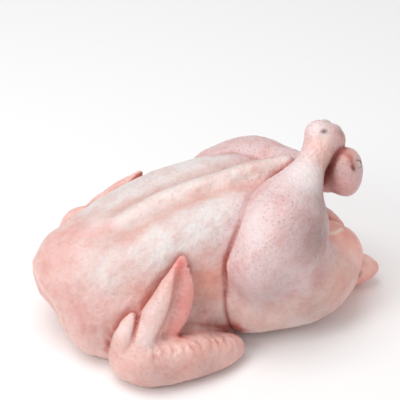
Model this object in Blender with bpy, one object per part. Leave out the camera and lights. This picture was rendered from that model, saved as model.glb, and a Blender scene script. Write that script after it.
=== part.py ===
"""A whole raw chicken lying on its back: breast up, legs crossed over the vent, wings folded at its sides.

The bird is one skin over many muscles, so it is worked out as a field: a number for each point in space that
is negative inside the bird and positive outside it. Each muscle gives its own field, and neighbours are
blended with a fillet as wide as the skin bridges there. Where the field is zero, the mesh gets its surface.
X runs from the neck (-) to the tail (+), Y from the right side (-) to the left (+), and Z up from the table.
"""

from functools import partial
import math

import bpy
import numpy as np

# Sizes and places are in millimetres. The meshes are made in metres.
MM = 0.001
BOX = ((-150, -112, -8), (155, 112, 170))
TO_MIDDLE = (-2.6, 2.5)
FLAT_BELOW = 0.3

# How finely the surface is found, and how many triangles are kept of it.
SKIN_STEP = 1.6
SKIN_TRIANGLES = 9000
JOINT_STEP = 1.5
JOINT_TRIANGLES = 500
COARSE = 4
FAR_OFF = 60.0
FIELD_REACH = 24.0
FILL_DEPTH = 0.1

# An egg-shaped muscle is its centre, its three radii and its pitch: a negative pitch lifts the tail end.
# A muscle that both sides have is given for the left. A limb is a list of stations: a place and the radius there.

# The trunk: ribs, the two breast muscles with the keel between them, belly, flanks and shoulders.
RIBS = ((-22, 0, 47), (106, 60, 49), -4)
BREAST = ((-18, 24, 64), (98, 36, 43), -15)
BELLY = ((44, 0, 53), (50, 52, 56), 0)
FLANK = ((-22, 43, 29), (56, 26, 31), 0)
SHOULDER = ((-80, 38, 22), (37, 30, 27), 0)
CROP = ((-103, -4, 54), (30, 33, 25), -10)
NECK = ((-128, 6, 24), (20, 22, 10), 20)
KEEL = [((-92, 0, 76), 6), ((-30, 0, 97), 8), ((30, 0, 111), 8.5), ((64, 0, 115), 8.5)]

# The rear: abdominal skin on each side of the cut vent, and the tail.
RUMP_RIGHT = ((90, -21, 40), (31, 26, 29), 8)
RUMP_LEFT = ((80, 18, 37), (28, 25, 26), 8)
TAIL = [((100, -6, 24), 20), ((114, -10, 16), 15), ((126, -12, 15), 11), ((134, -13, 15), 6)]
VENT = ((102, 0, 60), (24, 15, 17), -30)

# The legs. A drumstick's stations are shares of the way from knee to hock, with the radius there.
# The knobs are the two halves of the hock joint, and hinge is the way from its middle to one of them.
DRUMSTICK = [(0.0, 25), (0.15, 29), (0.32, 30), (0.55, 20.5), (0.75, 12.5), (0.88, 12), (1.0, 12)]
THIGH = ((51, 44, 40), (58, 34, 38), 0)
KNEE_FOLD = ((22, 43, 38), (32, 33, 35), 0)
RIGHT_CALF = ((54, -47, 82), (28, 29, 35), 0)
RIGHT_LEG = dict(knee=(26, -60, 74), hock=(94, 0, 137), hinge=(6.5, 0, -4.5), knob=9.5)
LEFT_CALF = ((50, 46, 74), (27, 28, 30), 0)
LEFT_LEG = dict(knee=(26, 60, 72), hock=(107, -12, 111.5), hinge=(1.0, 3.4, 5.4), knob=12.5)
LEFT_SHIN = ((97, -2, 103), (13, 12, 13), 0)

# The cartilage in the cut end of a hock has two lobes, part of the way out to the knobs.
LOBE_RADIUS = 6.5
LOBE_REACH = 6.5
LOBE_SPREAD = 0.6
JOINT_GAP = 0.5

# The right wing: upper arm, forearm, hand and thumb. The hand has a round front edge and a thin rear blade.
UPPER_ARM = [((-78, -42, 40), 20), ((-42, -60, 22), 15), ((-2, -76, 11), 10)]
FOREARM = [((2, -77, 11), 9.5), ((-14, -83, 14), 14), ((-40, -86, 17), 17.5), ((-62, -87, 17), 17.5)]
WRIST = ((-76, -78, 17), 16.5)
HAND = [((-73, -80, 22), 12.5), ((-62, -76, 42), 11), ((-51, -72, 58), 9.5),
        ((-41, -66, 75), 6.5), ((-33, -61, 90), 1.5)]
BLADE = [((-55, -78, 30), 8), ((-47, -75, 43), 11.5), ((-39, -71, 58), 11.5),
         ((-34, -66, 73), 8.5), ((-33, -62, 86), 3)]
THUMB = [((-80, -76, 22), 11.5), ((-80, -76, 34), 9.5), ((-76, -73, 44), 7), ((-73, -71, 50), 4)]
BLADE_FACING = (-0.30, -0.86, 0.40)
BLADE_THINNESS = 0.3

# The left wing is the right one's mirror image, with its wrist lifted about the elbow, and moved.
LEFT_WING_LIFT = 10
LEFT_WING_MOVE = (-20, -5, -3)


def blend(a, b, width):
    """The union of two fields with a fillet about that wide."""
    near = np.maximum(width - np.abs(a - b), 0.0)
    return np.minimum(a, b) - near * near / (4 * width)


def carve(a, b, width):
    """Field a with field b cut out of it, and the edge rounded."""
    return -blend(-a, b, width)


def around(points, low, high, field):
    """field(points), worked out only near the box from low to high: a muscle touches only its neighbours."""
    low, high = np.asarray(low) - FIELD_REACH, np.asarray(high) + FIELD_REACH
    near = np.logical_and(points > low, points < high).all(axis=1)
    result = np.full(len(points), FAR_OFF)
    result[near] = field(points[near])
    return result


def tipped(points, pitch):
    """The points turned about Y by that many degrees: a negative pitch tips what they measure tail up."""
    c, s = math.cos(math.radians(pitch)), math.sin(math.radians(pitch))
    x, y, z = points.T
    return np.stack([c * x - s * z, y, s * x + c * z], axis=1)


def ellipsoid(points, centre, radii, pitch=0.0):
    """An egg-shaped muscle. The level over its slope stays close to the true distance near the surface."""
    centre, radii = np.asarray(centre, float), np.asarray(radii, float)

    def field(p):
        q = tipped(p - centre, pitch)
        level = np.linalg.norm(q / radii, axis=1)
        slope = np.linalg.norm(q / radii**2, axis=1)
        return level * (level - 1) / np.maximum(slope, 1e-6)

    reach = radii.max()
    return around(points, centre - reach, centre + reach, field)


def smooth_path(stations, steps=4):
    """More stations along a Catmull-Rom curve through the given ones."""
    knots = np.array([[*point, radius] for point, radius in stations], float)
    knots = np.vstack([2 * knots[0] - knots[1], knots, 2 * knots[-1] - knots[-2]])
    path = []
    for a, b, c, d in zip(knots, knots[1:], knots[2:], knots[3:]):
        for t in np.arange(steps) / steps:
            straight, bend, twist = c - a, 2 * a - 5 * b + 4 * c - d, 3 * b - a - 3 * c + d
            path.append(b + 0.5 * (straight * t + bend * t**2 + twist * t**3))
    path.append(knots[-2])
    return np.array(path)


def limb(points, stations, facing=None, thinness=1.0):
    """A tapering limb along a smooth path. One that faces a way is flattened to that share of its width."""
    path = smooth_path(stations)
    reach = path[:, 3].max()
    stretch = np.eye(3)
    if facing is not None:
        normal = np.asarray(facing) / np.linalg.norm(facing)
        stretch += (1 / thinness - 1) * np.outer(normal, normal)
    places = path[:, :3] @ stretch

    def field(p):
        q = p @ stretch
        result = np.full(len(q), FAR_OFF)
        for start, end, thick, thin in zip(places, places[1:], path[:, 3], path[1:, 3]):
            along = end - start
            share = np.clip((q - start) @ along / (along @ along), 0, 1)
            gap = np.linalg.norm(q - start - share[:, None] * along, axis=1)
            result = np.minimum(result, gap - thick - share * (thin - thick))
        return result

    return around(points, path[:, :3].min(axis=0) - reach, path[:, :3].max(axis=0) + reach, field)


def between(start, end, share):
    return tuple(a + (b - a) * share for a, b in zip(start, end))


def sided(muscle, side):
    """A muscle given for the left, on the side asked for: 1 is left and -1 is right."""
    (x, y, z), radii, pitch = muscle
    return (x, y * side, z), radii, pitch


def trunk(points):
    field = blend(ellipsoid(points, *RIBS), ellipsoid(points, *BELLY), 30)
    field = blend(field, ellipsoid(points, *CROP), 22)
    for side in (-1, 1):
        field = blend(field, ellipsoid(points, *sided(BREAST, side)), 10)
        field = blend(field, ellipsoid(points, *sided(FLANK, side)), 14)
        field = blend(field, ellipsoid(points, *sided(SHOULDER, side)), 24)
    field = blend(field, limb(points, KEEL), 16)
    return carve(field, ellipsoid(points, *NECK), 5)


def rear(points):
    field = blend(ellipsoid(points, *RUMP_RIGHT), ellipsoid(points, *RUMP_LEFT), 8)
    return blend(field, limb(points, TAIL), 9)


def drumstick(points, knee, hock, hinge, knob):
    field = limb(points, [(between(knee, hock, share), radius) for share, radius in DRUMSTICK])
    for side in (-1, 1):
        place = np.add(hock, np.multiply(side, hinge))
        field = blend(field, ellipsoid(points, place, (knob,) * 3), 6)
    return field


def leg(points, side, calf, sizes):
    thigh = blend(ellipsoid(points, *sided(THIGH, side)), ellipsoid(points, *sided(KNEE_FOLD, side)), 8)
    shank = blend(drumstick(points, **sizes), ellipsoid(points, *calf), 16)
    return blend(thigh, shank, 12)


def legs(points):
    """Both legs. Skin bunches up on the left shin, where the right one crosses over it."""
    left = blend(leg(points, 1, LEFT_CALF, LEFT_LEG), ellipsoid(points, *LEFT_SHIN), 8)
    return np.minimum(leg(points, -1, RIGHT_CALF, RIGHT_LEG), left)


def hock_joint(points, knee, hock, hinge, knob):
    """The two-lobed cartilage that shows where the foot was cut off."""
    along = np.subtract(hock, knee) / np.linalg.norm(np.subtract(hock, knee))
    middle = hock + LOBE_REACH * along
    spread = LOBE_SPREAD * np.array(hinge)
    lobes = [ellipsoid(points, middle + side * spread, (LOBE_RADIUS,) * 3) for side in (-1, 1)]
    return blend(*lobes, 3)


def right_wing(points):
    """A folded wing. The hand turns back up over the body, and its rear edge is a thin blade of skin."""
    arm = blend(limb(points, UPPER_ARM), limb(points, [*FOREARM, WRIST]), 5)
    palm = blend(limb(points, HAND), limb(points, BLADE, BLADE_FACING, BLADE_THINNESS), 7)
    return blend(blend(arm, palm, 4), limb(points, THUMB), 4)


def left_wing(points):
    mirrored = (points - LEFT_WING_MOVE) * (1, -1, 1)
    elbow = np.array(UPPER_ARM[-1][0])
    return right_wing(elbow + tipped(mirrored - elbow, LEFT_WING_LIFT))


def chicken(points):
    behind = rear(points)
    field = blend(trunk(points), behind, 12)
    field = carve(field, ellipsoid(points, *VENT), 6)
    # The skin runs on from the thighs over the rump, and dips where they press against the belly.
    field = blend(field, blend(legs(points), behind, 16), 3)
    field = blend(field, right_wing(points), 4)
    field = blend(field, left_wing(points), 4)
    for sizes in (RIGHT_LEG, LEFT_LEG):
        field = carve(field, hock_joint(points, **sizes) - JOINT_GAP, 1)
    # The table flattens the back.
    return carve(field, points[:, 2], 3)


def grid_field(field, low, counts, step):
    """The field on a grid, in full only in the coarse blocks that the surface passes through."""
    blocks = [math.ceil(n / COARSE) for n in counts]
    centres = [low[i] + (np.arange(blocks[i]) + 0.5) * COARSE * step for i in range(3)]
    values = field(np.stack(np.meshgrid(*centres, indexing="ij"), axis=-1).reshape(-1, 3)).reshape(blocks)
    for axis in range(3):
        values = np.repeat(values, COARSE, axis=axis)
    near = np.abs(values) < COARSE * step * 1.3
    values[near] = field(np.asarray(low) + np.argwhere(near) * step)
    return values


def corner_values(values, low, size):
    """The values at one corner of every cell of that size. Three zeros or ones in low say which corner."""
    return values[tuple(slice(a, n - b + a) for a, b, n in zip(low, size, values.shape))]


def untangle(values, depth):
    """Fills the few grid points where two sheets of the surface would meet in one edge or one corner."""
    while True:
        tangled = 0
        for size in ((1, 1, 0), (1, 0, 1), (0, 1, 1), (1, 1, 1)):
            corners = [c for c in np.ndindex(2, 2, 2) if all(a <= b for a, b in zip(c, size))]
            inside = [corner_values(values, c, size) < 0 for c in corners]
            count = np.sum(inside, axis=0)
            crossed = np.zeros(count.shape, bool)
            for a, b in zip(inside, inside[::-1]):
                crossed |= (a == b) & (count == np.where(a, 2, len(corners) - 2))
            tangled += crossed.sum()
            for corner in corners:
                view = corner_values(values, corner, size)
                view[crossed] = np.minimum(view[crossed], -depth)
        if not tangled:
            return values


def surface(field, low, high, step):
    """The surface where field is zero, as (vertices, quads): one vertex in each grid cell that it crosses."""
    counts = [math.ceil((high[i] - low[i]) / step) for i in range(3)]
    values = untangle(grid_field(field, low, counts, step), FILL_DEPTH)
    size = np.array(values.shape) - 1
    total, hits = np.zeros((*size, 3)), np.zeros(size)
    corners = [np.array([i, j, k]) for i in (0, 1) for j in (0, 1) for k in (0, 1)]
    for start in corners:
        for axis in range(3):
            if start[axis]:
                continue
            end = start + np.eye(3, dtype=int)[axis]
            a = values[tuple(slice(s, s + n) for s, n in zip(start, size))]
            b = values[tuple(slice(s, s + n) for s, n in zip(end, size))]
            crossed = (a < 0) != (b < 0)
            share = np.where(crossed, a / np.where(crossed, a - b, 1), 0)
            for i in range(3):
                total[..., i] += crossed * (start[i] + (share if i == axis else 0))
            hits += crossed
    cells = hits > 0
    number = np.full(size, -1)
    number[cells] = np.arange(cells.sum())
    vertices = np.asarray(low) + (np.argwhere(cells) + total[cells] / hits[cells][:, None]) * step
    quads = []
    inside = values < 0
    for axis in range(3):
        u, v = (axis + 1) % 3, (axis + 2) % 3
        ahead = np.roll(inside, -1, axis=axis)
        for mask, turn in ((inside & ~ahead, 1), (~inside & ahead, -1)):
            at = np.argwhere(mask)
            at = at[(at > 0).all(axis=1) & (at < size).all(axis=1)]
            ring = []
            for du, dv in ((-1, -1), (0, -1), (0, 0), (-1, 0)):
                cell = at.copy()
                cell[:, u] += du
                cell[:, v] += dv
                ring.append(number[tuple(cell.T)])
            quads.append(np.stack(ring[::turn], axis=1))
    return largest_body(vertices, np.concatenate(quads))


def largest_body(vertices, quads):
    """Drops the small bubbles shut in where a wing lies against the body."""
    body = np.arange(len(vertices))
    while (body[quads] != body[quads][:, :1]).any():
        np.minimum.at(body, quads, body[quads].min(axis=1)[:, None])
        body = body[body]
    kept = body == np.bincount(body).argmax()
    number = np.cumsum(kept) - 1
    return vertices[kept], number[quads[kept[quads[:, 0]]]]


def settle(field, vertices, rounds=3, nudge=0.3):
    """Moves each vertex along the field's slope until it lies on the surface."""
    for _ in range(rounds):
        value = field(vertices)
        slope = np.stack(
            [field(vertices + nudge * axis) - field(vertices - nudge * axis) for axis in np.eye(3)], axis=1
        ) / (2 * nudge)
        vertices = vertices - 0.8 * slope * (value / np.maximum((slope**2).sum(axis=1), 0.25))[:, None]
    return vertices


def material(name, colour, roughness):
    made = bpy.data.materials.new(name)
    made.use_nodes = True
    shader = made.node_tree.nodes["Principled BSDF"]
    shader.inputs["Base Color"].default_value = (*colour, 1)
    shader.inputs["Roughness"].default_value = roughness
    return made


def solid(name, field, box, step, triangles, finish):
    """A closed solid of about that many triangles, on the surface where the field is zero."""
    vertices, quads = surface(field, *box, step)
    mesh = bpy.data.meshes.new(name)
    mesh.from_pydata((settle(field, vertices) * MM).tolist(), [], quads.tolist())
    made = bpy.data.objects.new(name, mesh)
    bpy.context.scene.collection.objects.link(made)
    fewer = made.modifiers.new("Fewer triangles", "DECIMATE")
    fewer.ratio = triangles / (2 * len(quads))
    thinned = bpy.data.meshes.new_from_object(made.evaluated_get(bpy.context.evaluated_depsgraph_get()))
    made.modifiers.remove(fewer)
    made.data = thinned
    bpy.data.meshes.remove(mesh)
    for vertex in thinned.vertices:
        if vertex.co.z < FLAT_BELOW * MM:
            vertex.co.z = 0
        vertex.co.x += TO_MIDDLE[0] * MM
        vertex.co.y += TO_MIDDLE[1] * MM
    thinned.materials.append(finish)
    thinned.shade_smooth()
    return made


def around_hock(sizes):
    """The box that holds one hock joint."""
    reach = LOBE_REACH + 2 * LOBE_RADIUS + 2
    return np.subtract(sizes["hock"], reach), np.add(sizes["hock"], reach)


def main():
    for leftover in list(bpy.data.objects):
        bpy.data.objects.remove(leftover)
    skin = material("skin", (0.86, 0.62, 0.58), 0.45)
    cartilage = material("cartilage", (0.86, 0.80, 0.76), 0.35)
    solid("chicken", chicken, BOX, SKIN_STEP, SKIN_TRIANGLES, skin)
    for name, sizes in (("right_hock_joint", RIGHT_LEG), ("left_hock_joint", LEFT_LEG)):
        joint = partial(hock_joint, **sizes)
        solid(name, joint, around_hock(sizes), JOINT_STEP, JOINT_TRIANGLES, cartilage)


main()
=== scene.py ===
# %% [markdown]
# # A whole raw chicken
# The bird lies on its back with its legs crossed and its wings folded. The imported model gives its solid,
# which is exact in size and plain in looks. This script makes the finer skin that is seen: the same
# muscles, found on a finer grid, with the furrows, folds, pimples and colours of real skin.

from functools import partial
import math

import bpy
import numpy as np
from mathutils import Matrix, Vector


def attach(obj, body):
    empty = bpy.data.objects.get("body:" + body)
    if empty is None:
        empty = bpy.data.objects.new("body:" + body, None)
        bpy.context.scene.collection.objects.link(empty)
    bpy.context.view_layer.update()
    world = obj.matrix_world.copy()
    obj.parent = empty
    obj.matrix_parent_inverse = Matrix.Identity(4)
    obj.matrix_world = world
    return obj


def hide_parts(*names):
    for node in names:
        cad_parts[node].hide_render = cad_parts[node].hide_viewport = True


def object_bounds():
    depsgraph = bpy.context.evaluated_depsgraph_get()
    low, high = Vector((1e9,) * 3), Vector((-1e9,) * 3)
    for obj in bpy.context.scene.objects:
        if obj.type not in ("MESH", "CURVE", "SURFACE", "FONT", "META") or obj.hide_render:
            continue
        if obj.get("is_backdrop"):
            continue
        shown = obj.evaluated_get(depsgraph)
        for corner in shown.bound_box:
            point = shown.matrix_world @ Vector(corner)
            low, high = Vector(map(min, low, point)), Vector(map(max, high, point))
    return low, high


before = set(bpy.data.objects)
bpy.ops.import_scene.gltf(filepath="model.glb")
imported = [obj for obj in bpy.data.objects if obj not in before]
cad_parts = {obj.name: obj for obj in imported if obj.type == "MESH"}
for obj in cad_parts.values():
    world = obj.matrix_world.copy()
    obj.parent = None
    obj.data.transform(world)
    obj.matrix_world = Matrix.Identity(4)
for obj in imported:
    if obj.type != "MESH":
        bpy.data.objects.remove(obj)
cad_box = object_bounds()
print("solids:", sorted(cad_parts))
print("box:", [[round(1000 * x, 1) for x in corner] for corner in cad_box])

# %% [markdown]
# ## Muscles as fields
# Skin runs over the muscles without a seam, which separate meshes can't show. So each muscle is a field:
# a number for each point in space, negative inside the muscle and about the distance in millimetres outside
# it. The smaller of two fields is their union, and a soft minimum bridges them as skin does.

# %% Fields and how they join
MM = 0.001
FAR_OFF = 60.0
FIELD_REACH = 24.0


def blend(a, b, width):
    """The union of two fields with a fillet about that wide."""
    near = np.maximum(width - np.abs(a - b), 0.0)
    return np.minimum(a, b) - near * near / (4 * width)


def carve(a, b, width):
    """Field a with field b cut out of it, and the edge rounded."""
    return -blend(-a, b, width)


CREASE_DEPTH = 1.2
CREASE_WIDTH = 2.0


def pressed(a, b, depth):
    """Two parts that press against each other: their union, with a sharp furrow where they meet."""
    return blend(a, b, 3) + depth * np.exp(-(((a - b) / CREASE_WIDTH) ** 2))


def around(points, low, high, field):
    """field(points), worked out only near the box from low to high: a muscle touches only its neighbours."""
    low, high = np.asarray(low) - FIELD_REACH, np.asarray(high) + FIELD_REACH
    near = np.logical_and(points > low, points < high).all(axis=1)
    result = np.full(len(points), FAR_OFF)
    result[near] = field(points[near])
    return result


def tipped(points, pitch):
    """The points turned about Y by that many degrees."""
    c, s = math.cos(math.radians(pitch)), math.sin(math.radians(pitch))
    x, y, z = points.T
    return np.stack([c * x - s * z, y, s * x + c * z], axis=1)


def ellipsoid(points, centre, radii, pitch=0.0):
    """An egg-shaped muscle. The level over its slope stays close to the true distance near the surface."""
    centre, radii = np.asarray(centre, float), np.asarray(radii, float)

    def field(p):
        q = tipped(p - centre, pitch)
        level = np.linalg.norm(q / radii, axis=1)
        slope = np.linalg.norm(q / radii**2, axis=1)
        return level * (level - 1) / np.maximum(slope, 1e-6)

    reach = radii.max()
    return around(points, centre - reach, centre + reach, field)


print("a fillet 8 mm wide fills its corner by", -blend(0.0, 0.0, 8), "mm")

# %% [markdown]
# A leg or a wing bends and tapers along its length. It is given by a few stations, each a place and a
# radius, and a Catmull-Rom curve runs through them all. Flattened stations make a thin blade of skin.

# %% Limbs
def smooth_path(stations, steps=4):
    """More stations along a Catmull-Rom curve through the given ones."""
    knots = np.array([[*point, radius] for point, radius in stations], float)
    knots = np.vstack([2 * knots[0] - knots[1], knots, 2 * knots[-1] - knots[-2]])
    path = []
    for a, b, c, d in zip(knots, knots[1:], knots[2:], knots[3:]):
        for t in np.arange(steps) / steps:
            straight, bend, twist = c - a, 2 * a - 5 * b + 4 * c - d, 3 * b - a - 3 * c + d
            path.append(b + 0.5 * (straight * t + bend * t**2 + twist * t**3))
    path.append(knots[-2])
    return np.array(path)


def limb(points, stations, facing=None, thinness=1.0):
    """A tapering limb along a smooth path. One that faces a way is flattened to that share of its width."""
    path = smooth_path(stations)
    reach = path[:, 3].max()
    stretch = np.eye(3)
    if facing is not None:
        normal = np.asarray(facing) / np.linalg.norm(facing)
        stretch += (1 / thinness - 1) * np.outer(normal, normal)
    places = path[:, :3] @ stretch

    def field(p):
        q = p @ stretch
        result = np.full(len(q), FAR_OFF)
        for start, end, thick, thin in zip(places, places[1:], path[:, 3], path[1:, 3]):
            along = end - start
            share = np.clip((q - start) @ along / (along @ along), 0, 1)
            gap = np.linalg.norm(q - start - share[:, None] * along, axis=1)
            result = np.minimum(result, gap - thick - share * (thin - thick))
        return result

    return around(points, path[:, :3].min(axis=0) - reach, path[:, :3].max(axis=0) + reach, field)


def between(start, end, share):
    """The place that far along from start to end."""
    return tuple(a + (b - a) * share for a, b in zip(start, end))


def sided(muscle, side):
    """A muscle given for the left, on the side asked for: 1 is left and -1 is right."""
    (x, y, z), radii, pitch = muscle
    return (x, y * side, z), radii, pitch


trial_limb = [((0, 0, 0), 10), ((0, 0, 20), 6)]
print("20 mm beside a limb 10 mm thick the field is", limb(np.array([[20.0, 0, 0]]), trial_limb).round(1)[0])

# %% [markdown]
# ## The trunk and the rear
# The bird's shape comes from its ribs, two breast muscles with the keel bone between them, the belly,
# flanks and shoulders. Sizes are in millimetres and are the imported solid's own, so the skin lies on it. Only
# the small flap of skin by the vent is added here.

# %% Trunk and rear
RIBS = ((-22, 0, 47), (106, 60, 49), -4)
BREAST = ((-18, 24, 64), (98, 36, 43), -15)
BELLY = ((44, 0, 53), (50, 52, 56), 0)
FLANK = ((-22, 43, 29), (56, 26, 31), 0)
SHOULDER = ((-80, 38, 22), (37, 30, 27), 0)
CROP = ((-103, -4, 54), (30, 33, 25), -10)
NECK = ((-128, 6, 24), (20, 22, 10), 20)
KEEL = [((-92, 0, 76), 6), ((-30, 0, 97), 8), ((30, 0, 111), 8.5), ((64, 0, 115), 8.5)]
RUMP_RIGHT = ((90, -21, 40), (31, 26, 29), 8)
RUMP_LEFT = ((80, 18, 37), (28, 25, 26), 8)
TAIL = [((100, -6, 24), 20), ((114, -10, 16), 15), ((126, -12, 15), 11), ((134, -13, 15), 6)]
VENT = ((102, 0, 60), (24, 15, 17), -30)
FLAP = [((86, 8, 64), 7), ((97, 4, 61), 7), ((108, 0, 51), 6)]


def breast(points):
    field = limb(points, KEEL)
    for side in (-1, 1):
        field = np.minimum(field, ellipsoid(points, *sided(BREAST, side)))
    return field


def trunk(points):
    field = blend(ellipsoid(points, *RIBS), ellipsoid(points, *BELLY), 30)
    field = blend(field, ellipsoid(points, *CROP), 22)
    for side in (-1, 1):
        field = blend(field, ellipsoid(points, *sided(BREAST, side)), 10)
        field = blend(field, ellipsoid(points, *sided(FLANK, side)), 14)
        field = blend(field, ellipsoid(points, *sided(SHOULDER, side)), 24)
    field = blend(field, limb(points, KEEL), 16)
    return carve(field, ellipsoid(points, *NECK), 5)


def rear(points):
    field = blend(ellipsoid(points, *RUMP_RIGHT), ellipsoid(points, *RUMP_LEFT), 8)
    return blend(field, limb(points, TAIL), 9)


print("keel:", len(smooth_path(KEEL)), "stations on a curve through", len(KEEL))

# %% [markdown]
# ## The legs
# Each leg is a thigh pressed against the body and a drumstick that narrows to the hock, where the foot was
# cut off. The right one crosses over the left, so the two differ a little. The gap round the cartilage in its
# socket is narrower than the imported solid's, because the faces of this mesh are smaller.

# %% Legs
DRUMSTICK = [(0.0, 25), (0.15, 29), (0.32, 30), (0.55, 20.5), (0.75, 12.5), (0.88, 12), (1.0, 12)]
THIGH = ((51, 44, 40), (58, 34, 38), 0)
KNEE_FOLD = ((22, 43, 38), (32, 33, 35), 0)
RIGHT_CALF = ((54, -47, 82), (28, 29, 35), 0)
RIGHT_LEG = dict(knee=(26, -60, 74), hock=(94, 0, 137), hinge=(6.5, 0, -4.5), knob=9.5)
LEFT_CALF = ((50, 46, 74), (27, 28, 30), 0)
LEFT_LEG = dict(knee=(26, 60, 72), hock=(107, -12, 111.5), hinge=(1.0, 3.4, 5.4), knob=12.5)
LEFT_SHIN = ((97, -2, 103), (13, 12, 13), 0)
LOBE_RADIUS = 6.5
LOBE_REACH = 6.5
LOBE_SPREAD = 0.6
JOINT_GAP = 0.2


def drumstick(points, knee, hock, hinge, knob):
    field = limb(points, [(between(knee, hock, share), radius) for share, radius in DRUMSTICK])
    for side in (-1, 1):
        place = np.add(hock, np.multiply(side, hinge))
        field = blend(field, ellipsoid(points, place, (knob,) * 3), 6)
    return field


def shank(points, calf, sizes):
    return blend(drumstick(points, **sizes), ellipsoid(points, *calf), 16)


def thigh(points, side):
    return blend(ellipsoid(points, *sided(THIGH, side)), ellipsoid(points, *sided(KNEE_FOLD, side)), 8)


def leg(points, side, calf, sizes):
    return blend(thigh(points, side), shank(points, calf, sizes), 12)


def legs(points):
    """Both legs. Skin bunches up on the left shin, where the right one crosses over it."""
    left = blend(leg(points, 1, LEFT_CALF, LEFT_LEG), ellipsoid(points, *LEFT_SHIN), 8)
    return np.minimum(leg(points, -1, RIGHT_CALF, RIGHT_LEG), left)


def hock_joint(points, knee, hock, hinge, knob):
    """The two-lobed cartilage that shows where the foot was cut off."""
    along = np.subtract(hock, knee) / np.linalg.norm(np.subtract(hock, knee))
    middle = hock + LOBE_REACH * along
    spread = LOBE_SPREAD * np.array(hinge)
    lobes = [ellipsoid(points, middle + side * spread, (LOBE_RADIUS,) * 3) for side in (-1, 1)]
    return blend(*lobes, 3)


for side, sizes in (("right", RIGHT_LEG), ("left", LEFT_LEG)):
    print(f"{side} drumstick: {math.dist(sizes['knee'], sizes['hock']):.0f} mm from knee to hock")

# %% [markdown]
# ## The wings
# A folded wing turns back on itself twice: the upper arm runs to the elbow, the forearm comes back to the
# wrist, and the hand turns up over the body. The left wing is the right one mirrored, tipped and moved. It
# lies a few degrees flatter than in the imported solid, so that only its tip shows above the breast.

# %% Wings
UPPER_ARM = [((-78, -42, 40), 20), ((-42, -60, 22), 15), ((-2, -76, 11), 10)]
FOREARM = [((2, -77, 11), 9.5), ((-14, -83, 14), 14), ((-40, -86, 17), 17.5), ((-62, -87, 17), 17.5)]
WRIST = ((-76, -78, 17), 16.5)
HAND = [((-73, -80, 22), 12.5), ((-62, -76, 42), 11), ((-51, -72, 58), 9.5),
        ((-41, -66, 75), 6.5), ((-33, -61, 90), 1.5)]
BLADE = [((-55, -78, 30), 8), ((-47, -75, 43), 11.5), ((-39, -71, 58), 11.5),
         ((-34, -66, 73), 8), ((-33, -62, 87), 2)]
THUMB = [((-80, -76, 22), 11.5), ((-80, -76, 34), 9.5), ((-76, -73, 44), 7), ((-73, -71, 50), 4)]
THUMB_PARTING = 1.6 * CREASE_DEPTH
BLADE_FACING = (-0.30, -0.86, 0.40)
BLADE_THINNESS = 0.3
LEFT_WING_LIFT = 6
LEFT_WING_MOVE = (-15, -5, -3)


def blade(points):
    return limb(points, BLADE, BLADE_FACING, BLADE_THINNESS)


def right_wing(points):
    arm = blend(limb(points, UPPER_ARM), limb(points, [*FOREARM, WRIST]), 4)
    palm = blend(limb(points, HAND), blade(points), 7)
    parting = THUMB_PARTING * np.clip((points[:, 2] - 30) / 12, 0, 1)
    return pressed(blend(arm, palm, 4), limb(points, THUMB), parting)


def to_right_wing(points):
    """Where each point of the left wing has its like on the right one."""
    mirrored = (points - LEFT_WING_MOVE) * (1, -1, 1)
    elbow = np.array(UPPER_ARM[-1][0])
    return elbow + tipped(mirrored - elbow, LEFT_WING_LIFT)


print(f"forearm: {math.dist(FOREARM[0][0], WRIST[0]):.0f} mm from elbow to wrist")

# %% [markdown]
# ## One skin
# The parts are joined as in the solid, so the field alone says where the skin is. Where the belly and a thigh
# press together, skin folds into a sharp furrow. It fades out at the rump, where the two run into each other.

# %% The whole bird's field
def body_and_legs(points):
    """The trunk with its rear, the legs, and how deep the furrow is where they meet."""
    behind = rear(points)
    body = blend(trunk(points), behind, 12)
    body = carve(body, ellipsoid(points, *VENT), 6)
    body = blend(body, limb(points, FLAP), 3)
    depth = np.clip(behind / 10, 0, 1) * np.clip((130 - points[:, 2]) / 30, 0.2, 1)
    return body, blend(legs(points), behind, 16), depth


def both_wings(points):
    return np.minimum(right_wing(points), right_wing(to_right_wing(points)))


def smooth_skin(points):
    body, limbs, depth = body_and_legs(points)
    field = blend(pressed(body, limbs, CREASE_DEPTH * depth), both_wings(points), 3)
    for sizes in (RIGHT_LEG, LEFT_LEG):
        field = carve(field, hock_joint(points, **sizes) - JOINT_GAP, 1)
    return carve(field, points[:, 2], 3)


print("field 100 mm up, by the keel:", smooth_skin(np.array([[0.0, 0, 100]])).round(1)[0], "mm")

# %% [markdown]
# ## Furrows, rims and wrinkles
# Skin that hangs over muscle is never smooth. Long furrows run beside the keel, where the two breast muscles
# lie flat against the bone. Where the skin was cut it has a rim, and by the hocks it has small dents and a
# torn fold. Each of these is a line of places on the skin and a width. The last number is the height, which
# is negative for a furrow, or the depth. For a rim it is how strongly its colour shows.

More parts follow.
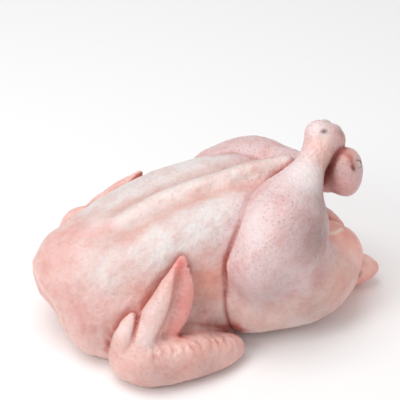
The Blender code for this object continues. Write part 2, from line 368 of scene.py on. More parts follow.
# %% Lines on the skin
FURROWS = [
    ([(54, 24, 112), (38, 19, 114), (17, 13, 115), (-17, 12, 109), (-50, 6, 100), (-72, 1, 91)], 7, -1.4),
    ([(60, 0, 123), (30, -1, 121), (-5, -3, 113), (-43, -2, 103), (-76, -8, 91)], 5, 1.1),
    ([(58, -6, 123), (14, -12, 116), (-24, -16, 108), (-54, -23, 99), (-80, -24, 88)], 8, -1.3),
    ([(45, -24, 122), (10, -28, 110), (-30, -32, 103)], 6, 0.9),
    ([(75, -66, 91), (76, -69, 72), (72, -76, 61)], 7, -1.6),
    ([(-35, -64, 87), (-40, -72, 72), (-47, -80, 54), (-56, -86, 40)], 3.2, -2.4),
    ([(-74, -58, 60), (-84, -58, 58), (-95, -56, 57)], 2.6, -1.0),
    ([(-91, -62, 46), (-92, -67, 34), (-90, -69, 24)], 2.4, -0.9),
    ([(-99, -58, 40), (-99, -62, 30)], 2.2, -0.6),
    ([(-26, -66, 50), (-10, -66, 53), (2, -65, 52)], 2.0, -0.7),
    ([(-22, -68, 41), (-6, -69, 40)], 2.0, -0.7),
]
RIMS = [
    ([(88, -34, 70), (95, -31, 69), (99, -28, 68), (103, -25, 67)], 1.2, 1.0),
    ([(-120, -38, 26), (-121, -36, 33), (-125, -30, 43), (-131, -21, 51), (-134, -9, 56),
      (-134, 4, 57), (-130, 16, 54), (-124, 27, 46), (-121, 34, 35)], 1.2, 0.5),
    ([(2, -62, 81), (1, -64, 75)], 1.1, 0.6),
    ([(0, -63, 63), (-1, -64, 57)], 1.1, 0.5),
]
QUILLS = [
    ([(-65, -95, 32), (-50, -94, 33), (-39, -96, 31), (-27, -91, 31), (-14, -86, 28), (0, -80, 23)],
     7.5, 5.0, 0.8),
    ([(-31, -65, 86), (-31, -69, 75), (-34, -73, 65), (-38, -76, 56), (-44, -78, 48)], 4.5, 4.5, 0.55),
]
HOLES = [
    ([(89, -8, 148), (91, -8, 148)], 1.2, 0.9),
    ([(110, -22, 122), (110, -22, 119)], 1.3, 0.7),
    ([(120, -25, 17), (122, -25, 20)], 1.5, 1.0),
]
CUTS = [([(103, -11, 131), (108, -14, 129), (110, -18, 126), (110, -22, 121)], 1.5, 0.8)]
RIM_RISE = 1.2
print(len(FURROWS), "furrows and ridges,", len(RIMS), "rims,", len(HOLES + CUTS), "holes and cuts")

# %% [markdown]
# Rows of quill bumps run along the wing, and loose skin wrinkles where the wing pulls at it. Real ones are
# never even, so soft random waves with fixed seeds push both about, and low ones of two lengths cover all the
# skin. All of it is one small height, which is taken from the smooth field and so moves the skin outwards.

# %% Relief
WAVES = [(0.45, 26, 1), (0.22, 9, 2)]
WRINKLES = [
    ((-92, -64, 36), 20, (0.5, 0.1, 0.75), 7.5, 0.3),
    ((-106, -44, 50), 22, (0.7, -0.2, 0.6), 8.0, 0.35),
    ((-12, -66, 44), 16, (0.95, 0.1, 0.2), 7.0, 0.3),
    ((80, -14, 128), 16, (0.8, 0.5, -0.3), 4.5, 0.3),
    ((-66, -94, 30), 12, (0.8, 0.2, 0.6), 5.0, 0.4),
    ((-40, -98, 20), 24, (0.5, 0.3, 0.8), 6.0, 0.35),
]


def near_line(points, line):
    """How far each point is from a line through the given places, and how far along the line that is."""
    line = np.asarray(line, float)
    gap, way, done = np.full(len(points), FAR_OFF), np.zeros(len(points)), 0.0
    for start, end in zip(line, line[1:]):
        along, length = end - start, np.linalg.norm(end - start)
        share = np.clip((points - start) @ along / length**2, 0, 1)
        here = np.linalg.norm(points - start - share[:, None] * along, axis=1)
        way = np.where(here < gap, done + share * length, way)
        gap = np.minimum(gap, here)
        done += length
    return gap, way


def ripple(points, length, seed):
    """Soft uneven waves about that long, from -1 to 1: a few plane waves in fixed random directions."""
    rng = np.random.default_rng(seed)
    ways = rng.normal(size=(7, 3))
    ways *= (rng.uniform(0.7, 1.4, 7) / np.linalg.norm(ways, axis=1))[:, None]
    return np.sin(points @ ways.T * (2 * math.pi / length) + rng.uniform(0, 6, 7)).mean(axis=1) * 1.6


def on_line(points, line, width):
    """1 on the line, fading to nothing a little over that width away."""
    return np.exp(-((near_line(points, line)[0] / width) ** 2))


def at_place(points, place, reach):
    """1 at the place, fading to nothing a little beyond that reach."""
    return np.exp(-((np.linalg.norm(points - place, axis=1) / reach) ** 2))


def relief(points):
    height = sum(rise * ripple(points, length, seed) for rise, length, seed in WAVES)
    for line, width, rise in FURROWS:
        height += rise * on_line(points, line, width)
    for line, width, _ in RIMS:
        height += RIM_RISE * on_line(points, line, width)
    for line, width, depth in HOLES + CUTS:
        height -= depth * on_line(points, line, width)
    for line, spacing, width, rise in QUILLS:
        wave = np.cos(near_line(points, line)[1] * (2 * math.pi / spacing) + 1.6 * ripple(points, 12, 5))
        height += rise * wave * on_line(points, line, width)
    for place, reach, way, spacing, rise in WRINKLES:
        wave = np.sin((points @ way) * (2 * math.pi / spacing) + 2.2 * ripple(points, 22, 3))
        height += rise * wave * at_place(points, place, reach)
    return height


def chicken(points):
    return smooth_skin(points) - relief(points)


print("the skin by the wing tip is raised by", relief(np.array([[-16.0, -59, 76]])).round(2)[0], "mm")

# %% [markdown]
# ## From a field to a mesh
# The field is sampled on a grid. Each grid cell that the surface passes through gets one vertex, and each
# grid edge that crosses it gets one four-sided face. Most cells are far from the skin, so a coarse grid is
# looked at first, and only the blocks near the skin are worked out in full.

# %% Finding the surface
BOX = ((-150, -112, -8), (155, 112, 170))
SKIN_STEP = 1.5
COARSE = 4
COARSE_MARGIN = 1.3
FILL_DEPTH = 0.1


def grid_field(field, low, counts, step):
    blocks = [math.ceil(n / COARSE) for n in counts]
    centres = [low[i] + (np.arange(blocks[i]) + 0.5) * COARSE * step for i in range(3)]
    values = field(np.stack(np.meshgrid(*centres, indexing="ij"), axis=-1).reshape(-1, 3)).reshape(blocks)
    for axis in range(3):
        values = np.repeat(values, COARSE, axis=axis)
    near = np.abs(values) < COARSE * step * COARSE_MARGIN
    values[near] = field(np.asarray(low) + np.argwhere(near) * step)
    return values


def corner_values(values, low, size):
    """The values at one corner of every cell of that size. Three zeros or ones in low say which corner."""
    return values[tuple(slice(a, n - b + a) for a, b, n in zip(low, size, values.shape))]


def untangle(values, depth):
    """Fills the few grid points where two sheets of the surface would meet in one edge or one corner."""
    while True:
        tangled = 0
        for size in ((1, 1, 0), (1, 0, 1), (0, 1, 1), (1, 1, 1)):
            corners = [c for c in np.ndindex(2, 2, 2) if all(a <= b for a, b in zip(c, size))]
            inside = [corner_values(values, c, size) < 0 for c in corners]
            count = np.sum(inside, axis=0)
            crossed = np.zeros(count.shape, bool)
            for a, b in zip(inside, inside[::-1]):
                crossed |= (a == b) & (count == np.where(a, 2, len(corners) - 2))
            tangled += crossed.sum()
            for corner in corners:
                view = corner_values(values, corner, size)
                view[crossed] = np.minimum(view[crossed], -depth)
        if not tangled:
            return values


def cell_vertices(values, low, step):
    """One vertex in each cell that the surface crosses, amid its crossings, and the cells' numbers."""
    size = np.array(values.shape) - 1
    total, hits = np.zeros((*size, 3)), np.zeros(size)
    for start in np.ndindex(2, 2, 2):
        for axis in range(3):
            if start[axis]:
                continue
            end = np.add(start, np.eye(3, dtype=int)[axis])
            a = values[tuple(slice(s, s + n) for s, n in zip(start, size))]
            b = values[tuple(slice(s, s + n) for s, n in zip(end, size))]
            crossed = (a < 0) != (b < 0)
            share = np.where(crossed, a / np.where(crossed, a - b, 1), 0)
            for i in range(3):
                total[..., i] += crossed * (start[i] + (share if i == axis else 0))
            hits += crossed
    cells = hits > 0
    number = np.full(size, -1)
    number[cells] = np.arange(cells.sum())
    return np.asarray(low) + (np.argwhere(cells) + total[cells] / hits[cells][:, None]) * step, number


def cell_quads(values, number):
    """One face for each grid edge that crosses the surface, joining the four cells around the edge."""
    quads = []
    inside = values < 0
    for axis in range(3):
        u, v = (axis + 1) % 3, (axis + 2) % 3
        ahead = np.roll(inside, -1, axis=axis)
        for mask, turn in ((inside & ~ahead, 1), (~inside & ahead, -1)):
            at = np.argwhere(mask)
            at = at[(at > 0).all(axis=1) & (at < number.shape).all(axis=1)]
            ring = []
            for du, dv in ((-1, -1), (0, -1), (0, 0), (-1, 0)):
                cell = at.copy()
                cell[:, u] += du
                cell[:, v] += dv
                ring.append(number[tuple(cell.T)])
            quads.append(np.stack(ring[::turn], axis=1))
    return np.concatenate(quads)


print("grid points:", [math.ceil((high - low) / SKIN_STEP) for low, high in zip(*BOX)])

# %% [markdown]
# Small bubbles can be shut in where a wing lies against the body, so only the largest body is kept. Then
# each vertex slides along the field's slope until it lies on the skin, which takes the grid's steps away.

# %% Cleaning the surface
def largest_body(vertices, quads):
    body = np.arange(len(vertices))
    while (body[quads] != body[quads][:, :1]).any():
        np.minimum.at(body, quads, body[quads].min(axis=1)[:, None])
        body = body[body]
    kept = body == np.bincount(body).argmax()
    number = np.cumsum(kept) - 1
    return vertices[kept], number[quads[kept[quads[:, 0]]]]


def slope_of(field, points, nudge=0.3):
    """How fast the field rises along X, Y and Z: on the skin this points straight out of it."""
    return np.stack(
        [field(points + nudge * axis) - field(points - nudge * axis) for axis in np.eye(3)], axis=1
    ) / (2 * nudge)


def settle(field, vertices, rounds=3, stride=0.8, least_steep=0.25):
    for _ in range(rounds):
        slope = slope_of(field, vertices)
        steep = np.maximum((slope**2).sum(axis=1), least_steep)
        vertices = vertices - stride * slope * (field(vertices) / steep)[:, None]
    return vertices


def surface(field, low, high, step):
    """The surface where field is zero, as (vertices, quads)."""
    counts = [math.ceil((high[i] - low[i]) / step) for i in range(3)]
    values = untangle(grid_field(field, low, counts, step), FILL_DEPTH)
    vertices, number = cell_vertices(values, low, step)
    vertices, quads = largest_body(vertices, cell_quads(values, number))
    return settle(field, vertices), quads


BALL_RADIUS = 10
trial_ball = partial(ellipsoid, centre=(1, 1, 1), radii=(BALL_RADIUS,) * 3)
ball_points, _ = surface(trial_ball, (-12, -12, -12), (14, 14, 14), 2)
ball_error = np.linalg.norm(ball_points - 1, axis=1) - BALL_RADIUS
print("a trial ball is true to", np.abs(ball_error).max().round(3), "mm")

# %% [markdown]
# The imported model's origin is on the table under the middle of the bird's box, so the skin is moved there as
# the solid was. Its object stays at the origin, unturned and unscaled.

# %% Making the skin's mesh
TO_MIDDLE = (-2.6, 2.5, 0)


def to_frame(points):
    """Millimetres where the bird was measured to metres in the shared frame."""
    return (np.asarray(points, float) + TO_MIDDLE) * MM


def mesh_object(name, vertices, faces):
    mesh = bpy.data.meshes.new(name)
    mesh.from_pydata(to_frame(vertices).tolist(), [], np.asarray(faces).tolist())
    mesh.shade_smooth()
    made = bpy.data.objects.new(name, mesh)
    bpy.context.scene.collection.objects.link(made)
    return made


skin_points, skin_quads = surface(chicken, *BOX, SKIN_STEP)
skin_points[:, 2] = np.maximum(skin_points[:, 2], 0)
skin = mesh_object("chicken_skin", skin_points, skin_quads)
print(f"skin: {len(skin_points)} vertices, {2 * len(skin_quads)} triangles")

# %% [markdown]
# ## Where each colour of skin lies
# Real chicken skin is not one colour. It is cream over the fat of the breast, lilac over the lean drumstick,
# peach over the belly and pink on the wings. Each muscle's field says how near a vertex is to that muscle,
# so the same fields paint the skin: each weight is stored on the vertices as an attribute.

# %% Weights for the colours
def near(field, width):
    """1 where the field is below 0, falling to 0 at that width outside."""
    share = np.clip(1 - field / width, 0, 1)
    return share * share * (3 - 2 * share)


def spots(points, patches):
    """How strongly patches of colour show: each one fades out round a place."""
    weight = np.zeros(len(points))
    for place, reach, strength in patches:
        weight = np.maximum(weight, strength * at_place(points, place, reach))
    return weight


def strongest(weights):
    return np.max(list(weights), axis=0)


def store(made, name, values):
    attribute = made.data.attributes.new(name, "FLOAT", "POINT")
    attribute.data.foreach_set("value", np.clip(values, 0, 1).astype(np.float32))
    print(f"{name}: {100 * np.mean(values > 0.5):.0f}% of the skin")


store(skin, "breast", near(breast(skin_points), 9) * np.clip((skin_points[:, 2] - 40) / 40, 0, 1))

# %% [markdown]
# Blood, fat and bruises make patches that no muscle explains, and other patches are painted shade, painted
# highlights and painted light where the skin lies in shade. Each is a place, how far it reaches and how strong
# it is, and the lists are named for their colours or for the light they paint. Two lines along the breast are
# painted
# as well: the pink tract where feathers grew, and a painted highlight along the ridge over the keel.

# %% Patches of colour
BLUSH = [
    ((-115, -13, 77), 26, 0.7), ((-113, -38, 58), 24, 0.35), ((-131, -21, 50), 24, 0.7),
    ((-106, -52, 46), 16, 0.9), ((-19, -59, 75), 18, 0.5), ((-3, -60, 78), 14, 0.4), ((7, -65, 17), 14, 0.9),
    ((-68, -56, 62), 22, 0.5), ((98, -26, 108), 16, 1.2), ((106, -26, 112), 12, 0.9),
    ((-86, -18, 85), 18, 0.5), ((104, -8, 136), 10, 0.7), ((70, -50, 12), 30, 0.2),
]
# Painted shade: grey patches where the drumstick, thigh, shank, flank and hand lie in shade.
PAINTED_SHADES = [
    ((28, -79, 60), 18, 0.45), ((-96, -64, 32), 18, 0.35), ((-17, -67, 43), 16, 0.5),
    ((-10, -69, 30), 14, 0.8), ((66, -68, 98), 20, 1.0), ((78, -46, 112), 18, 1.0),
    ((92, -16, 118), 13, 0.9), ((99, -13, 132), 9, 0.4), ((104, -5, 142), 4, 0.8), ((64, -74, 30), 20, 0.5),
    ((-60, -104, 16), 22, 0.5), ((-25, -102, 12), 18, 0.5), ((-60, -78, 58), 11, 0.22),
]
# Painted highlights: pale spots where the drumstick, shank, hocks, hand and breast catch the light.
PAINTED_HIGHLIGHTS = [
    ((23, -59, 109), 15, 0.6), ((68, -33, 128), 18, 1.2), ((88, -4, 150), 12, 0.6),
    ((74, -18, 134), 10, 0.6), ((-56, -75, 58), 10, 0.6), ((-64, -82, 40), 10, 0.9),
    ((-79, -80, 46), 10, 0.6), ((8, -26, 113), 14, 0.4),
]
# The peach at (89, -20, 131) is painted shade on the right side of the near shank.
PEACHES = [
    ((-14, -62, 66), 14, 1.2), ((-18, -58, 78), 11, 0.6), ((-39, -96, 28), 15, 0.4),
    ((-12, -88, 26), 15, 0.35), ((-62, -58, 66), 14, 0.5), ((-74, -40, 78), 14, 0.4),
    ((-70, -88, 30), 14, 0.3), ((-55, -93, 31), 10, 0.4), ((89, -20, 131), 10, 1.2),
    ((108, -15, 128), 7, 0.6), ((90, -66, 50), 18, 0.5),
]
CREAMS = [
    ((-50, -40, 90), 26, 0.8), ((-88, -36, 74), 22, 0.6), ((60, -70, 12), 18, 0.6),
    ((20, -72, 10), 14, 0.3),
]
# Painted light, in a warm skin tone, on the tail, the rump, the forearm and a hock where they lie in shade.
PAINTED_LIGHTS = [
    ((86, -14, 141), 11, 0.9), ((128, -18, 24), 12, 1.0), ((-43, -95, 33), 14, 0.6),
    ((98, -45, 62), 12, 0.4), ((-4, -86, 23), 10, 0.35),
]
TRACT = [(39, -18, 114), (16, -16, 113), (-8, -17, 109), (-38, -21, 102), (-64, -28, 90)]
# A painted highlight along the ridge over the keel.
RIDGE_HIGHLIGHT = [(60, -2, 123), (34, -4, 121), (-5, -3, 113), (-43, -2, 103), (-70, -7, 93)]
TRACT_WIDTH = 8
RIDGE_HIGHLIGHT_WIDTH = 6
PATCHES = {"blush": BLUSH, "painted_shade": PAINTED_SHADES, "painted_highlight": PAINTED_HIGHLIGHTS, "peach": PEACHES, "cream": CREAMS, "painted_light": PAINTED_LIGHTS}
for name, patches in PATCHES.items():
    store(skin, name, spots(skin_points, patches))
store(skin, "tract", on_line(skin_points, TRACT, TRACT_WIDTH))
store(skin, "ridge_highlight", on_line(skin_points, RIDGE_HIGHLIGHT, RIDGE_HIGHLIGHT_WIDTH))

# %% [markdown]
# The rest follows the shape, and most of it is painted shade. A crease is where there is little open air a few
# millimetres out from the skin, and the field tells that as well; there the skin is darkened as painted shade.
# The seam is where the belly's field and the legs' are alike, and it is darkened the same way. The furrows,
# the torn fold and the holes are darkened with painted shade, and the cut rims are painted bright.

# %% Weights that follow the shape
SEAM_SHADE_WIDTH = 1.2
RIM_WIDTH, CUT_SHADE_WIDTH, HOLE_SHADE_WIDTH = 1.7, 2.0, 1.6
REACH_OUT = 6.0
CREASE_SHADE_START, CREASE_SHADE_GAIN = 1.15, 1.3
outward = slope_of(chicken, skin_points)
outward /= np.maximum(np.linalg.norm(outward, axis=1), 1e-6)[:, None]
open_air = chicken(skin_points + REACH_OUT * outward) / REACH_OUT
# Painted shade: the skin is darkened where there is little open air.
store(skin, "crease_shade", CREASE_SHADE_START - open_air * CREASE_SHADE_GAIN)

body, limbs, depth = body_and_legs(skin_points)
low_down = np.clip((130 - skin_points[:, 2]) / 50, 0.45, 1)
# Painted shade along the seam between the belly and the legs, stronger low down.
store(skin, "seam_shade", low_down * near(body, 3) * depth * np.exp(-(((body - limbs) / SEAM_SHADE_WIDTH) ** 2)))
# Painted shade in the furrows, with the pinker tone of the thin skin there.
furrow_shades = [-rise / 2 * on_line(skin_points, line, width) for line, width, rise in FURROWS if rise < 0]
store(skin, "furrow_shade", np.sum(furrow_shades, axis=0))
store(skin, "rim", strongest(share * on_line(skin_points, line, RIM_WIDTH) for line, _, share in RIMS))
# Painted shade of the torn fold by the hock, in the red of its raw edge.
store(skin, "cut_shade", strongest(on_line(skin_points, line, CUT_SHADE_WIDTH) for line, _, _ in CUTS))
# Painted shade: the holes are painted dark, though the skin is only dented there.
store(skin, "hole_shade", strongest(on_line(skin_points, line, HOLE_SHADE_WIDTH) for line, _, _ in HOLES))

# %% [markdown]
# The legs, the rump and the wings have colours of their own, and so have the thin blade of skin behind the
# hand and the hand's tip.

# %% Weights of the limbs
TIP = ((-33, -61, 92), 14)
shanks = np.minimum(shank(skin_points, RIGHT_CALF, RIGHT_LEG), shank(skin_points, LEFT_CALF, LEFT_LEG))
shanks = np.minimum(shanks, ellipsoid(skin_points, *LEFT_SHIN))
thighs = np.minimum(thigh(skin_points, -1), thigh(skin_points, 1))
blades = np.minimum(blade(skin_points), blade(to_right_wing(skin_points)))
wings = near(both_wings(skin_points), 1)
store(skin, "drumstick", near(shanks, 16))
store(skin, "thigh", near(thighs, 2))
store(skin, "rump", near(rear(skin_points), 14))
store(skin, "wing", wings)
store(skin, "blade", near(blades - 0.5, 4))
store(skin, "tip", wings * at_place(skin_points, *TIP))

# %% [markdown]
# ## Shader maths as Python
# A skin material has dozens of maths nodes, which are hard to read when each is placed by hand. A small class
# wraps a socket and overloads the operators, so a formula is written as a formula.

# %% A wrapped socket
class Socket:
    """A node's output that can be added, multiplied and so on. Numbers stay numbers."""

    def __init__(self, tree, socket):
        self.tree, self.socket = tree, socket

    def node(self, kind, settings=None, inputs=None, output=0):
        made = self.tree.nodes.new(kind)
        for name, value in (settings or {}).items():
            setattr(made, name, value)
        for key, value in (inputs or {}).items():
            if isinstance(value, Socket):
                self.tree.links.new(value.socket, made.inputs[key])
            else:
                made.inputs[key].default_value = value
        return Socket(self.tree, made.outputs[output])

    def maths(self, operation, *values, clamp=False):
        settings = {"operation": operation, "use_clamp": clamp}
        return self.node("ShaderNodeMath", settings, dict(enumerate(values)))

    def __add__(self, other):
        return self.maths("ADD", self, other)

    def __radd__(self, other):
        return self.maths("ADD", other, self)

    def __sub__(self, other):
        return self.maths("SUBTRACT", self, other)

    def __rsub__(self, other):
        return self.maths("SUBTRACT", other, self)

    def __mul__(self, other):
        return self.maths("MULTIPLY", self, other)

    def __rmul__(self, other):
        return self.maths("MULTIPLY", other, self)

    def clamped(self):
        return self.maths("ADD", self, 0.0, clamp=True)

    def mixed(self, other, share):
        """This colour with that share of another one."""
        settings = {"data_type": "RGBA"}
        return self.node("ShaderNodeMix", settings, {"Factor": share, 6: self, 7: other}, output=2)

    def tinted(self, other, share):
        """This colour multiplied by another one, to that share."""
        settings = {"data_type": "RGBA", "blend_type": "MULTIPLY"}
        return self.node("ShaderNodeMix", settings, {"Factor": share, 6: self, 7: other}, output=2)


def linear(red, green, blue):
    """A colour as a screen shows it, 0 to 255, as the linear values that a shader needs."""
    shares = [c / 255 for c in (red, green, blue)]
    return (*[c / 12.92 if c <= 0.04045 else ((c + 0.055) / 1.055) ** 2.4 for c in shares], 1.0)


print("the middle grey of a screen, 128, is", round(linear(128, 128, 128)[0], 3), "as a linear value")

# %% [markdown]
# ## The skin's colours
# The paints go on in layers, as a model maker would put them: first the muscles, then the patches of blood
# and fat with painted shade, painted light and a painted highlight on the keel's ridge, then a fine mottle,
# and last the painted highlights, the painted shade of furrows, creases, the seam, the torn fold and holes,
# and the bright cut rims. A mixed layer covers what is under it, and a tinted one only darkens it. Noise makes
# the patches uneven.

# %% Skin colours
def noise(start, place, size_mm, detail=2.0):
    inputs = {"Vector": place, "Scale": 1 / (size_mm * MM), "Detail": detail}
    return start.node("ShaderNodeTexNoise", {}, inputs)


def weight(start, name):
    """A weight that was stored on the skin."""
    return start.node("ShaderNodeAttribute", {"attribute_name": name}, {}, output=2)


def paint(start, *colour):
    made = start.node("ShaderNodeRGB")
    made.socket.default_value = linear(*colour)
    return made


MUSCLE_PAINTS = {
    "breast": (228, 219, 217), "thigh": (228, 196, 188), "drumstick": (228, 200, 200),
    "rump": (254, 190, 176), "wing": (240, 198, 190),
}


def muscle_colour(start, patches):
    colour = paint(start, 234, 196, 184).mixed(paint(start, 238, 204, 200), patches)
    for name, shade in MUSCLE_PAINTS.items():
        colour = colour.mixed(paint(start, *shade), weight(start, name))
    return colour.mixed(paint(start, 232, 148, 142), weight(start, "blade") * 0.8)


# Besides patches of blood, fat and mottle, this paints shade in grey, light in a warm tone and a highlight
# along the keel's ridge.
def patch_light_and_shade_colour(start, colour, patches, blotches):
    colour = colour.mixed(paint(start, 227, 173, 168), weight(start, "blush") * (blotches + 0.45))
    colour = colour.mixed(paint(start, 230, 162, 144), weight(start, "peach") * (blotches + 0.45))
    colour = colour.mixed(paint(start, 255, 214, 204), weight(start, "painted_light"))
    colour = colour.mixed(paint(start, 160, 128, 124), weight(start, "painted_shade") * 0.8)
    colour = colour.mixed(paint(start, 232, 225, 222), weight(start, "cream") * 0.8)
    colour = colour.mixed(paint(start, 234, 192, 183), weight(start, "tract") * (patches + 0.1))
    colour = colour.mixed(paint(start, 240, 230, 226), weight(start, "ridge_highlight") * 0.8)
    colour = colour.mixed(paint(start, 244, 160, 156), weight(start, "tip"))
    return colour.mixed(paint(start, 250, 236, 232), weight(start, "pimple") * 0.15)


# This paints the highlights, the shade of furrows, creases, the seam, the torn fold and holes, and the cut
# rims.
def highlight_shade_and_rim_colour(start, colour):
    colour = colour.mixed(paint(start, 248, 236, 235), weight(start, "painted_highlight") * 0.8)
    colour = colour.tinted(paint(start, 246, 226, 220), weight(start, "furrow_shade"))
    colour = colour.tinted(paint(start, 220, 166, 158), weight(start, "crease_shade"))
    colour = colour.tinted(paint(start, 196, 144, 138), weight(start, "seam_shade"))
    colour = colour.mixed(paint(start, 255, 234, 216), weight(start, "rim"))
    colour = colour.mixed(paint(start, 176, 96, 88), weight(start, "cut_shade") * 0.8)
    return colour.mixed(paint(start, 84, 30, 26), weight(start, "hole_shade"))


print(len(MUSCLE_PAINTS), "muscle paints, the palest is", max(MUSCLE_PAINTS.values(), key=sum))

# %% [markdown]
# ## The skin's material
# Raw skin is a thin moist film over fat and meat. Light goes a few millimetres into it and comes out redder,
# which subsurface scattering gives. The moist film is a weak clear coat over a soft gloss. Follicles and a
# fine pebble pattern are too small for the mesh, so they are bumps that only bend the light.

# %% Skin material
FOLLICLES_PER_METRE = 330


def new_material(name):
    made = bpy.data.materials.new(name)
    made.use_nodes = True
    shader = made.node_tree.nodes["Principled BSDF"]
    return made, Socket(made.node_tree, None), shader


def set_inputs(shader, values):
    for name, value in values.items():
        shader.inputs[name].default_value = value


def skin_material(name, depth_mm):
    made, start, shader = new_material(name)
    place = start.node("ShaderNodeTexCoord", {}, {}, output=3)
    patches = noise(start, place, size_mm=45, detail=3)
    blotches = noise(start, place, size_mm=14, detail=3)
    pebbles = noise(start, place, size_mm=3.2)
    colour = patch_light_and_shade_colour(start, muscle_colour(start, patches), patches, blotches)
    colour = colour.tinted(paint(start, 240, 200, 194), (blotches - 0.42) * 1.8)
    colour = colour.tinted(paint(start, 236, 214, 208), (pebbles - 0.5) * 1.6)
    made.node_tree.links.new(highlight_shade_and_rim_colour(start, colour).socket, shader.inputs["Base Color"])

    follicles = start.node("ShaderNodeTexVoronoi", {"feature": "F1"}, {
        "Vector": place, "Scale": FOLLICLES_PER_METRE,
    })
    bumps = follicles.maths("SMOOTH_MIN", follicles, 0.5, 0.2)
    drumstick = weight(start, "drumstick")
    height = (0.5 - bumps) * (drumstick + weight(start, "wing") * 0.6 + 0.25) + blotches * 0.6
    height = height + pebbles * (1.3 - drumstick * 0.6)
    normal = start.node("ShaderNodeBump", {}, {"Strength": 0.6, "Distance": MM, "Height": height})
    made.node_tree.links.new(normal.socket, shader.inputs["Normal"])
    set_inputs(shader, {
        "Roughness": 0.42, "Subsurface Weight": 0.25, "Subsurface Radius": (1.0, 0.4, 0.25),
        "Subsurface Scale": depth_mm * MM, "Coat Weight": 0.12, "Coat Roughness": 0.3,
    })
    return made


skin_finish = skin_material("skin", 6)
pimple_finish = skin_material("pimple", 0.5)
skin.data.materials.append(skin_finish)
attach(skin, "root")
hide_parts("chicken")
print("skin material:", len(skin_finish.node_tree.nodes), "nodes")

# %% [markdown]
# ## Pimples where the feathers were
# Each plucked feather leaves a small bump. There are thousands on the legs and wings, so Geometry Nodes
# place them: points spread over the skin, no two closer than a feather's spacing, and a flat ball on each
# point. The weights stored on the skin say where they are dense, and each ball inherits them for its colour.

# %% Pimples by Geometry Nodes
PIMPLES = {"Spacing": 2.7 * MM, "Radius": 0.65 * MM, "Flatness": 0.13, "Seed": 4}
MOST_PER_SQUARE_METRE = 200000.0
SMALLEST, LARGEST = 0.6, 1.15


def pimple_tree(finish):
    tree = bpy.data.node_groups.new("pimples", "GeometryNodeTree")
    tree.interface.new_socket("Geometry", in_out="INPUT", socket_type="NodeSocketGeometry")
    tree.interface.new_socket("Geometry", in_out="OUTPUT", socket_type="NodeSocketGeometry")
    kinds = {"Spacing": "Float", "Radius": "Float", "Flatness": "Float", "Seed": "Int"}
    for name, kind in kinds.items():
        tree.interface.new_socket(name, in_out="INPUT", socket_type="NodeSocket" + kind)
    start = Socket(tree, None)
    entry, end = tree.nodes.new("NodeGroupInput"), tree.nodes.new("NodeGroupOutput")
    given = {socket.name: Socket(tree, socket) for socket in entry.outputs if socket.name}

    def stored(name):
        return start.node("GeometryNodeInputNamedAttribute", {"data_type": "FLOAT"}, {"Name": name})

    density = (stored("drumstick") + stored("wing") * 0.7 + stored("thigh") * 0.3).clamped()
    # No pimples in the painted crease shade or on the painted highlights.
    density = density * (1 - stored("crease_shade")) * (1 - stored("painted_highlight"))
    spread = start.node("GeometryNodeDistributePointsOnFaces", {"distribute_method": "POISSON"}, {
        "Mesh": given["Geometry"], "Distance Min": given["Spacing"], "Density Factor": density,
        "Density Max": MOST_PER_SQUARE_METRE, "Seed": given["Seed"],
    })
    turned = Socket(tree, spread.socket.node.outputs["Rotation"])
    ball = start.node("GeometryNodeMeshIcoSphere", {}, {"Radius": given["Radius"], "Subdivisions": 1})
    flat = start.node("ShaderNodeCombineXYZ", {}, {"X": 1.0, "Y": 1.0, "Z": given["Flatness"]})
    size = start.node("FunctionNodeRandomValue", {"data_type": "FLOAT"}, {
        2: SMALLEST, 3: LARGEST, "Seed": given["Seed"],
    }, output=1)
    size = flat.node("ShaderNodeVectorMath", {"operation": "SCALE"}, {0: flat, "Scale": size})
    placed = start.node("GeometryNodeInstanceOnPoints", {}, {
        "Points": spread, "Instance": ball, "Rotation": turned, "Scale": size,
    })
    marked = start.node("GeometryNodeStoreNamedAttribute", {"data_type": "FLOAT", "domain": "INSTANCE"}, {
        "Geometry": placed, "Name": "pimple", "Value": 1.0,
    })
    real = start.node("GeometryNodeRealizeInstances", {}, {"Geometry": marked})
    smooth = start.node("GeometryNodeSetShadeSmooth", {}, {"Geometry": real})
    made = start.node("GeometryNodeSetMaterial", {}, {"Geometry": smooth, "Material": finish})
    tree.links.new(made.socket, end.inputs[0])
    return tree


made_tree = pimple_tree(pimple_finish)
print("pimple tree:", len(made_tree.nodes), "nodes")

# %% [markdown]
# Geometry Nodes work the balls out anew each time, and the frame needs a plain mesh. So the tree runs once on
# a copy of the skin, and what it made is kept as the mesh of an object of its own.

# %% Grow the pimples
def grown(name, source, tree, sizes):
    """A plain mesh of what a tree makes from a source object."""
    carrier = bpy.data.objects.new(name, source.data.copy())
    bpy.context.scene.collection.objects.link(carrier)
    modifier = carrier.modifiers.new(name, "NODES")
    modifier.node_group = tree
    for item in tree.interface.items_tree:
        if item.in_out == "INPUT" and item.name in sizes:
            modifier[item.identifier] = sizes[item.name]
    mesh = bpy.data.meshes.new_from_object(carrier.evaluated_get(bpy.context.evaluated_depsgraph_get()))
    carrier.modifiers.remove(modifier)
    copied, carrier.data = carrier.data, mesh
    bpy.data.meshes.remove(copied)
    return carrier


pimples = grown("pimples", skin, made_tree, PIMPLES)
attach(pimples, "root")
print(f"pimples: {len(pimples.data.vertices) // 12}, {len(pimples.data.polygons)} triangles")

# %% [markdown]
# ## The cut ends of the legs
# Where each foot was cut off, the two-lobed end of the leg bone shows in the skin, capped with cartilage:
# smooth, greyish white and wetter than the skin. Its field is the one that hollowed its socket, so they fit.

# %% Cartilage caps
CAP_STEP = 0.8


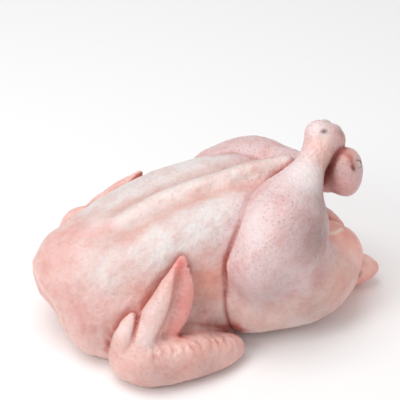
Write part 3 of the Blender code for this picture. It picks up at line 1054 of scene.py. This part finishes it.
def cartilage_material():
    made, start, shader = new_material("cartilage")
    place = start.node("ShaderNodeTexCoord", {}, {}, output=3)
    pinker = (noise(start, place, size_mm=5) * 3 - 1.2).clamped()
    colour = paint(start, 214, 206, 198).mixed(paint(start, 222, 168, 158), pinker)
    made.node_tree.links.new(colour.socket, shader.inputs["Base Color"])
    set_inputs(shader, {
        "Roughness": 0.3, "Subsurface Weight": 0.2, "Subsurface Radius": (1.0, 0.7, 0.6),
        "Subsurface Scale": 4 * MM,
    })
    return made


cartilage_finish = cartilage_material()
for name, sizes in (("right_hock_joint", RIGHT_LEG), ("left_hock_joint", LEFT_LEG)):
    reach = LOBE_REACH + 2 * LOBE_RADIUS + 2
    low, high = np.subtract(sizes["hock"], reach), np.add(sizes["hock"], reach)
    cap = mesh_object(name + "_cap", *surface(partial(hock_joint, **sizes), low, high, CAP_STEP))
    cap.data.materials.append(cartilage_finish)
    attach(cap, "root")
    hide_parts(name)
    print(f"{name}: {2 * len(cap.data.polygons)} triangles")

# %% [markdown]
# ## Floor and light
# The bird lies on a plain white table under two large soft lights, one above it and one towards the neck. The
# white world fills the shadows, so they stay soft and pale. None of these belong to the model, so the floor
# is marked as stage.

# %% Stage
FLOOR_HALF = 3.0
WORLD_STRENGTH = 0.55
LIGHTS_AIM = Vector((0, 0, 0.06))
corners = [(x * FLOOR_HALF, y * FLOOR_HALF, 0) for x, y in ((-1, -1), (1, -1), (1, 1), (-1, 1))]
floor_mesh = bpy.data.meshes.new("floor")
floor_mesh.from_pydata(corners, [], [(0, 1, 2, 3)])
floor = bpy.data.objects.new("floor", floor_mesh)
bpy.context.scene.collection.objects.link(floor)
floor_finish, _, floor_shader = new_material("floor")
set_inputs(floor_shader, {"Base Color": (0.99, 0.99, 0.99, 1), "Roughness": 0.8})
floor_mesh.materials.append(floor_finish)
floor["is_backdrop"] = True

world = bpy.data.worlds.new("studio")
world.use_nodes = True
set_inputs(world.node_tree.nodes["Background"], {"Color": (1, 1, 1, 1), "Strength": WORLD_STRENGTH})
bpy.context.scene.world = world
bpy.context.scene.view_settings.view_transform = "Standard"


def softbox(name, place, size, power):
    light = bpy.data.lights.new(name, "AREA")
    light.shape = "DISK"
    light.size = size
    light.energy = power
    made = bpy.data.objects.new(name, light)
    made.location = place
    made.rotation_mode = "QUATERNION"
    made.rotation_quaternion = (Vector(place) - LIGHTS_AIM).to_track_quat("Z", "Y")
    bpy.context.scene.collection.objects.link(made)


softbox("key", place=(-0.35, 0.0, 1.45), size=1.1, power=9.5)
softbox("side", place=(-0.95, -0.5, 0.85), size=0.6, power=4.0)
print("floor", 2 * FLOOR_HALF, "m wide,", len(bpy.data.lights), "lights")

# %% [markdown]
# ## The camera
# The camera stands where the photographer's did: above the bird and a little towards its neck, seeing its
# right side. A long lens from more than a metre away keeps the near wing from looking too large.

# %% Camera
CAMERA_TURN = math.radians(-14)
CAMERA_HEIGHT = math.radians(35)
CAMERA_DISTANCE = 1.2
CAMERA_AIM = Vector((0.0043, 0.0467, 0.0636))
CAMERA_LENS = 135
towards_camera = Vector((
    math.sin(CAMERA_TURN) * math.cos(CAMERA_HEIGHT),
    -math.cos(CAMERA_TURN) * math.cos(CAMERA_HEIGHT),
    math.sin(CAMERA_HEIGHT),
))
camera = bpy.data.objects.new("camera", bpy.data.cameras.new("camera"))
camera.data.lens = CAMERA_LENS
camera.location = CAMERA_AIM + CAMERA_DISTANCE * towards_camera
camera.rotation_mode = "QUATERNION"
camera.rotation_quaternion = towards_camera.to_track_quat("Z", "Y")
bpy.context.scene.collection.objects.link(camera)
bpy.context.scene.camera = camera
print("camera at", [round(along, 2) for along in camera.location], "m")

# %% [markdown]
# ## Finish
# The finer skin has to be as large as the imported solid. Both boxes are printed, so that they can be
# compared.

# %% The size of both boxes
visual_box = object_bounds()
[[list(corner) for corner in box] for box in (cad_box, visual_box)]
print("visual box:", [[round(1000 * x, 1) for x in corner] for corner in visual_box])
